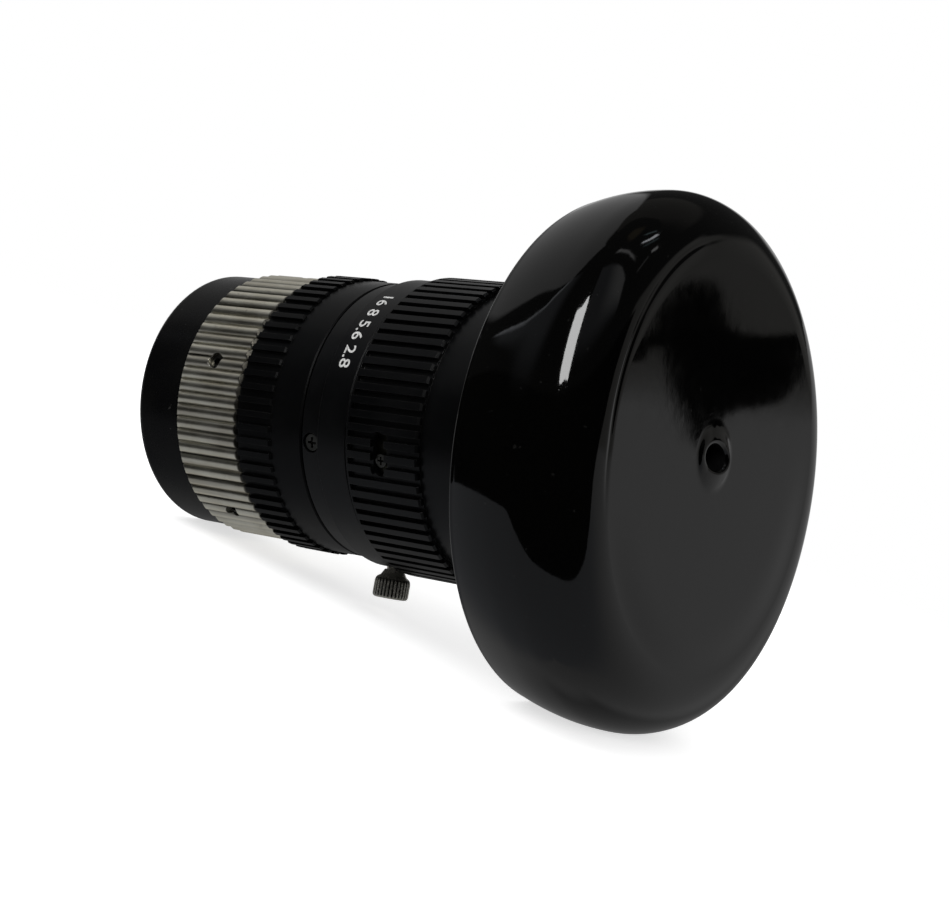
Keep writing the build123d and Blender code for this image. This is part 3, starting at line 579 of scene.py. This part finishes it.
def build_front_cap():
    cap = add_closed("front_cap_vinyl", turned_mesh(cap_profile(), CAP_TURNS, cap_point))
    for face in cap.data.polygons:
        middle = face.center / MM
        across = (middle.y - DIMPLE_ASIDE - CAP_ASIDE) / (1 + DIMPLE_STRETCH)
        from_hole = math.hypot(across, middle.z - DIMPLE_UP - CAP_SAG)
        if from_hole < HOLE_R and HOLE_BACK < middle.x < HOLE_FRONT:
            face.material_index = 1
    cap.data.materials.append(finishes["black_vinyl"])
    cap.data.materials.append(hole_vinyl())
    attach(cap, "front_cap")
    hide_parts("front_cap")


# Thumbscrew: the solid's shank under a head with soft shoulders and fine knurls. Lengths are in mm.

THUMB_X, THUMB_R = 25.5, 2.23
# The last of these is how far down from a knurl's top the painted highlight reaches.
THUMB_KNURLS, THUMB_KNURL_DEPTH, THUMB_CREST_HIGHLIGHT = 30, 0.18, 0.12
THUMB_KNURL_FROM, THUMB_KNURL_TO = 19.3, 21.55
THUMB_FADE, THUMB_END_FADE = 0.2, 0.1
THUMB_CUT_FROM = (THUMB_KNURL_FROM - 0.25, THUMB_KNURL_FROM + THUMB_FADE)
THUMB_CUT_TO = (THUMB_KNURL_TO - 0.15, THUMB_KNURL_TO + THUMB_END_FADE)
THUMB_TURNS = THUMB_KNURLS * 8
THUMB_SHARP = math.radians(38)
THUMB_SHANK = [(14.5, 0.001), (14.5, 0.85), (14.65, 1.0), (18.2, 1.0), (18.2, 1.2)]
THUMB_SHOULDER = [
    (18.72, 1.5), (18.84, 1.56), (18.96, 1.66), (19.06, 1.84),
    (19.18, 1.99), (19.34, 2.11), (19.54, 2.19), (19.8, THUMB_R),
]
THUMB_END = [
    (21.3, THUMB_R), (21.45, 2.2), (21.6, 2.12), (21.7, 1.99),
    (21.75, 1.8), (21.68, 1.5), (21.66, 0.001),
]


def knurled_metal():
    """The thumbscrew's plating, with a painted highlight on the knurls and painted shade between them."""
    f = Finish("dark_nickel_thumb")
    cloud = f.noise(700.0, detail=4.0)
    fine = f.noise(9000.0, detail=2.0, roughness=0.6)
    flat = f.add("ShaderNodeCombineXYZ", {"X": f.part(0), "Y": f.part(1)}).outputs[0]
    radius = f.vector("DISTANCE", flat, (THUMB_X * MM, 0.0, 0.0))["Value"]
    # Painted highlight on the knurls' crests, fading down into them.
    crest_highlight = f.ramp(radius, (THUMB_R - THUMB_CREST_HIGHLIGHT) * MM, THUMB_R * MM)
    down = f.math("MULTIPLY", f.part(2), -1.0)
    start = f.ramp(down, (THUMB_KNURL_FROM - THUMB_FADE) * MM, (THUMB_KNURL_FROM + THUMB_FADE) * MM)
    stop = f.ramp(down, (THUMB_KNURL_TO - THUMB_END_FADE) * MM, THUMB_KNURL_TO * MM, 1.0, 0.0)
    # Knurl crests painted bright as a highlight, and the grooves between them painted dark as shade.
    knurl_highlight_and_shade = f.mix(crest_highlight, (0.02, 0.019, 0.017), (0.78, 0.76, 0.68))
    plain = f.mix(f.spread(cloud), (0.34, 0.33, 0.28), (0.58, 0.56, 0.49))
    colour = f.mix(f.math("MULTIPLY", start, stop), plain, knurl_highlight_and_shade)
    roughness = f.spread(f.average(cloud, 0.6, fine), 0.2, 0.32)
    f.surface(Base_Color=colour, Roughness=roughness, Normal=f.bump(fine, 0.000003, 0.5), Metallic=0.84)
    return f.material


def thumb_point(depth, radius, angle):
    """A point of the thumbscrew, which hangs down, with its knurls cut into the head."""
    cut = smooth(*THUMB_CUT_FROM, depth) * (1 - smooth(*THUMB_CUT_TO, depth))
    groove = (0.5 + 0.5 * math.cos(THUMB_KNURLS * angle)) ** 2
    r = radius - THUMB_KNURL_DEPTH * cut * groove
    return Vector((THUMB_X + r * math.cos(angle), r * math.sin(angle), -depth)) * MM


def build_thumbscrew():
    profile = THUMB_SHANK + THUMB_SHOULDER + THUMB_END
    screw = add_closed("thumbscrew_knurled", turned_mesh(profile, THUMB_TURNS, thumb_point))
    screw.data.set_sharp_from_angle(angle=THUMB_SHARP)
    screw.data.materials.append(knurled_metal())
    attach(screw, "lock_screw")
    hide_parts("thumbscrew")


# Plain scale numbers on the fixed band. Lengths are in mm, angles in degrees above the band's side.

BAND_R = 17.9
NUMBERS = "16 8 5.6 2.8"
NUMBER_X, NUMBER_HEIGHT = 25.35, 2.15
NUMBER_START, NUMBER_END = 53.0, 14.0
NUMBER_HALF_THICKNESS, NUMBER_BOLD, NUMBER_LIFT = 0.012, 0.02, 0.022


def build_numbers():
    curve = bpy.data.curves.new("scale_numbers", "FONT")
    curve.body = NUMBERS
    curve.size = NUMBER_HEIGHT
    curve.extrude = NUMBER_HALF_THICKNESS
    curve.offset = NUMBER_BOLD
    curve.resolution_u = 6
    text = add_object("scale_text", curve)
    bpy.context.view_layer.update()
    seen = text.evaluated_get(bpy.context.evaluated_depsgraph_get())
    data = bpy.data.meshes.new_from_object(seen)
    bpy.data.objects.remove(text)
    longest = max(v.co.x for v in data.vertices)
    arc = math.radians(NUMBER_START - NUMBER_END)
    for v in data.vertices:
        angle = math.radians(NUMBER_START) - arc * v.co.x / longest
        radius = BAND_R + NUMBER_LIFT + v.co.z
        v.co = Vector((NUMBER_X + v.co.y, -radius * math.cos(angle), radius * math.sin(angle))) * MM
    data.name = "scale_numbers"
    data.materials.clear()
    data.materials.append(number_paint())
    numbers = add_object("scale_numbers", data)
    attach(numbers, "barrel")


# Floor, world and lamps. The floor's lengths are in mm, the lamps' in metres.

FLOOR_SLOPE = -0.2256
FLOOR_X, FLOOR_Z = -6.3, -16.5
FLOOR_REACH, FLOOR_RINGS, FLOOR_TURNS = 320.0, 24, 96
FLOOR_FADE_FROM, FLOOR_FADE_TO = 0.55, 0.97
FLOOR_GLOW = 0.66
AMBIENT, WHITE = 0.42, 1.0


def build_floor():
    """A pale disc under the cap's rim and the rear cap, whose edge fades into the white world."""
    along = Vector((1, 0, FLOOR_SLOPE)).normalized()
    across = Vector((0, 1, 0))
    under = Vector((CENTRE_X, 0.0, FLOOR_Z + FLOOR_SLOPE * (CENTRE_X - FLOOR_X))) * MM

    def place(_, reach, angle):
        return under + (along * math.cos(angle) + across * math.sin(angle)) * reach * MM

    rings = [(0.0, FLOOR_REACH * k / FLOOR_RINGS) for k in range(FLOOR_RINGS, -1, -1)]
    floor = add_mesh("floor", turned_mesh(rings, FLOOR_TURNS, place))
    f = Finish("floor")
    paper = f.mix(f.spread(f.noise(30.0)), (0.80, 0.80, 0.80), (0.84, 0.84, 0.84))
    diffuse = f.add("ShaderNodeBsdfDiffuse", {"Color": paper}).outputs[0]
    camera_ray = f.add("ShaderNodeLightPath").outputs["Is Camera Ray"]
    strength = f.math("MULTIPLY", camera_ray, FLOOR_GLOW)
    glow = f.add("ShaderNodeEmission", {"Color": (1, 1, 1), "Strength": strength}).outputs[0]
    both = f.add("ShaderNodeAddShader", {0: diffuse, 1: glow}).outputs[0]
    clear = f.add("ShaderNodeBsdfTransparent").outputs[0]
    offset = f.vector("DISTANCE", f.place, tuple(under))["Value"]
    reach = FLOOR_REACH * MM
    fade = f.ramp(offset, FLOOR_FADE_FROM * reach, FLOOR_FADE_TO * reach)
    behind = f.add("ShaderNodeNewGeometry").outputs["Backfacing"]
    hidden = f.math("MAXIMUM", fade, behind)
    f.only(f.add("ShaderNodeMixShader", {0: hidden, 1: both, 2: clear}).outputs[0])
    floor.data.materials.append(f.material)
    floor.visible_glossy = False


def build_world():
    """White to the camera, to reflections and through glass, and a grey ambient light otherwise."""
    world = bpy.data.worlds.new("studio")
    bpy.context.scene.world = world
    world.use_nodes = True
    tree = world.node_tree
    tree.nodes.clear()
    rays = tree.nodes.new("ShaderNodeLightPath").outputs
    white_ray = rays["Is Camera Ray"]
    for kind in ("Is Glossy Ray", "Is Transmission Ray"):
        either = tree.nodes.new("ShaderNodeMath")
        either.operation = "MAXIMUM"
        tree.links.new(white_ray, either.inputs[0])
        tree.links.new(rays[kind], either.inputs[1])
        white_ray = either.outputs[0]
    mix = tree.nodes.new("ShaderNodeMixShader")
    tree.links.new(white_ray, mix.inputs[0])
    for index, strength in ((1, AMBIENT), (2, WHITE)):
        light = tree.nodes.new("ShaderNodeBackground")
        light.inputs["Color"].default_value = (1, 1, 1, 1)
        light.inputs["Strength"].default_value = strength
        tree.links.new(light.outputs[0], mix.inputs[index])
    output = tree.nodes.new("ShaderNodeOutputWorld")
    tree.links.new(mix.outputs[0], output.inputs["Surface"])


def area_lamp(name, place, size, power):
    """A round lamp that faces the part's middle and shows in no reflection."""
    data = bpy.data.lights.new(name, "AREA")
    data.shape = "DISK"
    data.size = size
    data.energy = power
    lamp = add_object(name, data)
    lamp.location = CENTRE + Vector(place)
    lamp.rotation_mode = "QUATERNION"
    lamp.rotation_quaternion = (CENTRE - lamp.location).to_track_quat("-Z", "Y")
    lamp.visible_glossy = False


# Studio cards that only reflections see

GREY, COOL, BLACK = (1.0, 1.0, 1.0), (0.96, 0.99, 1.05), (1.0, 1.0, 1.06)
CREAM, WARM_GREY, AMBER, AQUA = (1.0, 0.98, 0.94), (1.0, 0.97, 0.92), (1.0, 0.85, 0.62), (0.7, 0.95, 1.0)
CARD_COLUMNS, CARD_STEPS = 48, 40
FACE_MIDDLE = Vector((67.0, 0.0, 1.4)) * MM
FACE_CARD_AZIMUTH, FACE_CARD_ELEVATION = 150.0, 5.0


def toward(azimuth, elevation, distance):
    a, e = math.radians(azimuth), math.radians(elevation)
    return CENTRE + Vector((math.sin(a) * math.cos(e), -math.cos(a) * math.cos(e), math.sin(e))) * distance


def beside_face(across, up, distance):
    """A point on a plane that faces the cap's flat front, in mm across and up from its middle."""
    ahead = toward(FACE_CARD_AZIMUTH, FACE_CARD_ELEVATION, 1.0) - CENTRE
    side = Vector((0, 0, 1)).cross(ahead).normalized()
    rise = ahead.cross(side)
    return FACE_MIDDLE + ahead * distance + (side * across + rise * up) * MM


def line_at(points, across):
    """Height, at this place across, of a smooth line through points of place and height."""
    for i in range(len(points) - 1):
        (a0, e0), (a1, e1) = points[i], points[i + 1]
        if across <= a1:
            before_a, before_e = points[max(i - 1, 0)]
            after_a, after_e = points[min(i + 2, len(points) - 1)]
            t, span = max(0.0, (across - a0) / (a1 - a0)), a1 - a0
            leave = span * (e1 - before_e) / (a1 - before_a)
            arrive = span * (after_e - e0) / (after_a - a0)
            rise = (2 * t - 3) * t * t
            return e0 * (1 + rise) - e1 * rise + leave * t * (1 - t) ** 2 - arrive * t * t * (1 - t)
    return points[-1][1]


def level(first, last, elevation):
    return [(first, elevation), (last, elevation)]


def card(name, low, high, colour, strength, distance, soft=(0, 0, 0, 0), spot=toward):
    """low and high are the card's lower and upper edges as points over the same span, in degrees of
    azimuth and elevation from the part's middle, or as spot says. distance is in metres, and soft is how
    much of the left, right, lower and upper side fades out."""
    first, last = low[0][0], low[-1][0]
    columns = max(CARD_COLUMNS, int(last - first))
    mesh = bmesh.new()
    fade = mesh.verts.layers.float.new("cover")
    rows = []
    for u in range(columns + 1):
        s = u / columns
        across = first + (last - first) * s
        bottom, top = line_at(low, across), line_at(high, across)
        row = []
        for v in range(CARD_STEPS + 1):
            t = v / CARD_STEPS
            vert = mesh.verts.new(spot(across, bottom + (top - bottom) * t, distance))
            cover = 1.0
            for width, gap in zip(soft, (s, 1 - s, t, 1 - t)):
                if width:
                    cover *= smooth(0.0, width, gap)
            vert[fade] = cover
            row.append(vert)
        rows.append(row)
    for here, there in zip(rows, rows[1:]):
        for i in range(CARD_STEPS):
            mesh.faces.new((here[i], here[i + 1], there[i + 1], there[i]))
    thing = add_mesh(name, mesh)
    f = Finish(name)
    glow = f.add("ShaderNodeEmission", {"Color": colour, "Strength": strength}).outputs[0]
    clear = f.add("ShaderNodeBsdfTransparent").outputs[0]
    cover = f.add("ShaderNodeAttribute", attribute_name="cover").outputs["Fac"]
    f.only(f.add("ShaderNodeMixShader", {0: cover, 1: clear, 2: glow}).outputs[0])
    thing.data.materials.append(f.material)
    thing.visible_camera = False
    thing.visible_diffuse = False
    thing.visible_transmission = False
    thing.visible_shadow = False


def build_room():
    """Pale table below, and walls, ceiling and dark places of a room above and in front."""
    table_top = [(-180, 15), (-150, 14), (-120, 6), (0, 5.5), (120, 5.5), (140, 7.5), (155, 7.6)]
    table_top += [(165, 11), (180, 15)]
    card("card_table", level(-180, 180, -89.9), table_top, GREY, 0.34, 0.80)
    card("card_room", table_top, level(-180, 180, 89.9), GREY, 0.03, 0.80)
    near = level(-112, 132, -89), level(-112, 132, 0)
    card("card_table_near", *near, COOL, 0.27, 0.72, (0.12, 0.12, 0, 0.1))
    low = [(-146, 18), (-120, 22), (-81, 28), (-74, 31), (-65, 40), (-60, 46), (-32, 61), (-27, 68)]
    high = [(-146, 66), (-119, 82), (-27, 83)]
    card("card_wall", low, high, GREY, 0.34, 0.70, (0.02, 0, 0.05, 0.04))
    low = [(132, 46), (156, 45), (176, 45.5), (190, 47), (214, 50), (241, 60)]
    high = [(132, 60), (150, 67), (165, 73), (180, 75.5), (200, 79), (214, 83), (241, 86)]
    card("card_ceiling", low, high, WARM_GREY, 0.072, 0.72, (0.22, 0, 0.14, 0.06))
    left = level(-178, -84, -6), level(-178, -84, 26)
    card("card_left", *left, GREY, 0.5, 0.68, (0.15, 0.2, 0.2, 0.15))
    under = level(-200, -104, -75), level(-200, -104, 1)
    card("card_under_back", *under, GREY, 0.17, 0.70, (0.2, 0.45, 0.2, 0.12))
    low = [(-70, -13), (-66, -14), (-48, -19), (-31, -25), (-18, -33), (4, -43), (24, -46), (45, -45)]
    low += [(71, -38), (95, -21), (106, -8), (109, 0), (116, 8)]
    high = [(-70, 16), (-50, 21), (0, 19), (60, 22), (116, 26)]
    card("card_front", low, high, BLACK, 0.008, 0.60, (0, 0, 0, 0.06))


def build_side_cards():
    """Paler patches at the sides and the long streak over the cap's shoulder."""
    low = [(40, 26), (58, 25), (91, 34)]
    high = [(40, 70), (60, 68.5), (75, 64.5), (84, 58.5), (91, 48.5)]
    card("card_side", low, high, COOL, 0.15, 0.58, (0.02, 0.06, 0.35, 0.04))
    high = [(58, 67.5), (75, 63.8), (84, 57.8), (90, 49)]
    card("card_side_light", level(58, 90, 36), high, GREY, 0.42, 0.56, (0.8, 0.05, 0.5, 0.05))
    low = [(-69, 25), (-60, 25), (-52, 25), (-46, 22), (-38, 12), (-25, 10), (-8, 14)]
    high = [(-69, 27), (-61.5, 31.5), (-52, 37.5), (-49.8, 41.2), (-45.3, 48.8), (-37.5, 55.5)]
    high += [(-31, 61), (-20, 66), (-8, 70)]
    card("card_streak", low, high, COOL, 0.17, 0.58, (0.15, 0.35, 0.6, 0.03))
    low = [(-69, 26.2), (-61.5, 29.2), (-52, 34.4), (-49.8, 37.0), (-45.3, 44.8), (-37.5, 51.8)]
    low += [(-31, 57.5), (-24, 62)]
    high = [(-69, 27), (-61.5, 32), (-52, 38.2), (-49.8, 41.6), (-45.3, 49.3), (-37.5, 56)]
    high += [(-31, 61.5), (-24, 64.5)]
    card("card_streak_edge", low, high, COOL, 0.9, 0.575, (0.1, 0.3, 0.8, 0.2))
    low, high = [(134, 6), (155, 6.8), (174, 13)], [(134, 36), (174, 30)]
    card("card_back", low, high, CREAM, 0.15, 0.66, (0.1, 0.25, 0.04, 0.25))
    high = [(112, 29), (124, 32), (148, 38)]
    card("card_band", level(112, 148, 4), high, CREAM, 0.22, 0.64, (0.06, 0.2, 0.02, 0.12))


def build_glints():
    """The window, the small lamps, and the dark blind close to the cap's flat front."""
    low = [(22.5, 49), (28.5, 23), (37, 22.3), (41.3, 21.8)]
    high = [(22.5, 49.5), (28.5, 50.8), (38.5, 52), (41.3, 22.5)]
    card("card_window", low, high, GREY, 13.0, 0.50)
    low, high = [(108.5, 63.3), (118, 59.5), (126, 57.3)], [(108.5, 65), (118, 61.8), (126, 60)]
    card("card_lamp", low, high, COOL, 3.2, 0.50, (0.15, 0.03, 0.15, 0.15))
    low, high = [(117, 68), (128.5, 60.8)], [(117, 70), (128.5, 63.3)]
    card("card_lamp_high", low, high, AQUA, 0.5, 0.50, (0.3, 0.05, 0.3, 0.3))
    low, high = [(107, 59.5), (124, 54.5)], [(107, 61.2), (124, 56.7)]
    card("card_lamp_mid", low, high, AQUA, 0.3, 0.50, (0.3, 0.05, 0.3, 0.3))
    low, high = [(114.5, 49.6), (120.3, 48.8)], [(114.5, 51.8), (120.3, 51.4)]
    card("card_lamp_low", low, high, GREY, 1.1, 0.50, (0.1, 0.1, 0.2, 0.2))
    low, high = [(101.5, 45.6), (112.5, 48.7)], [(101.5, 47.2), (112.5, 50.3)]
    card("card_lamp_thin", low, high, GREY, 0.22, 0.50, (0.1, 0.1, 0.2, 0.2))
    low, high = [(92, 73.5), (112, 71.5), (140, 71)], [(92, 79), (112, 82), (140, 80)]
    card("card_lamp_warm", low, high, AMBER, 0.11, 0.50, (0.3, 0.3, 0.3, 0.3))
    low = [(60, 73.5), (70, 72.5), (76, 71.3), (84.5, 67.5), (90, 64), (94.5, 58.5), (98.5, 53.5)]
    low += [(100, 51)]
    high = [(60, 75.5), (70, 75), (76, 74.5), (84.5, 71.5), (90, 68.8), (94.5, 63.5), (98.5, 58.5)]
    high += [(100, 55)]
    card("card_lamp_hook", low, high, GREY, 0.75, 0.50, (0.35, 0.15, 0.25, 0.25))
    low = [(-9, 13), (-3.4, 12.3), (-1.5, 15), (-0.5, 13), (0.8, 7), (2, 1.5), (3.4, -0.5), (4.4, 3)]
    low += [(6.5, 6), (11, 9), (13, 15)]
    high = [(-9, 14.5), (-3.4, 16.5), (-2.6, 18.5), (-1.7, 22), (-0.9, 24.5), (1, 27), (3, 26), (5, 20.5)]
    high += [(7.5, 19), (11, 20), (13, 19)]
    card("card_blind", low, high, BLACK, 0.004, 0.11, (0.03, 0.05, 0.1, 0.1), beside_face)


make_camera()
build_world()
build_floor()
build_room()
build_side_cards()
build_glints()
area_lamp("key", (-0.35, -0.45, 0.60), 0.55, 3.4)
area_lamp("fill", (0.55, -0.45, 0.25), 0.60, 1.2)
area_lamp("back", (0.05, 0.60, 0.45), 0.50, 1.4)
build_front_cap()
build_thumbscrew()
build_numbers()

scene = bpy.context.scene
scene.view_settings.view_transform = "Standard"
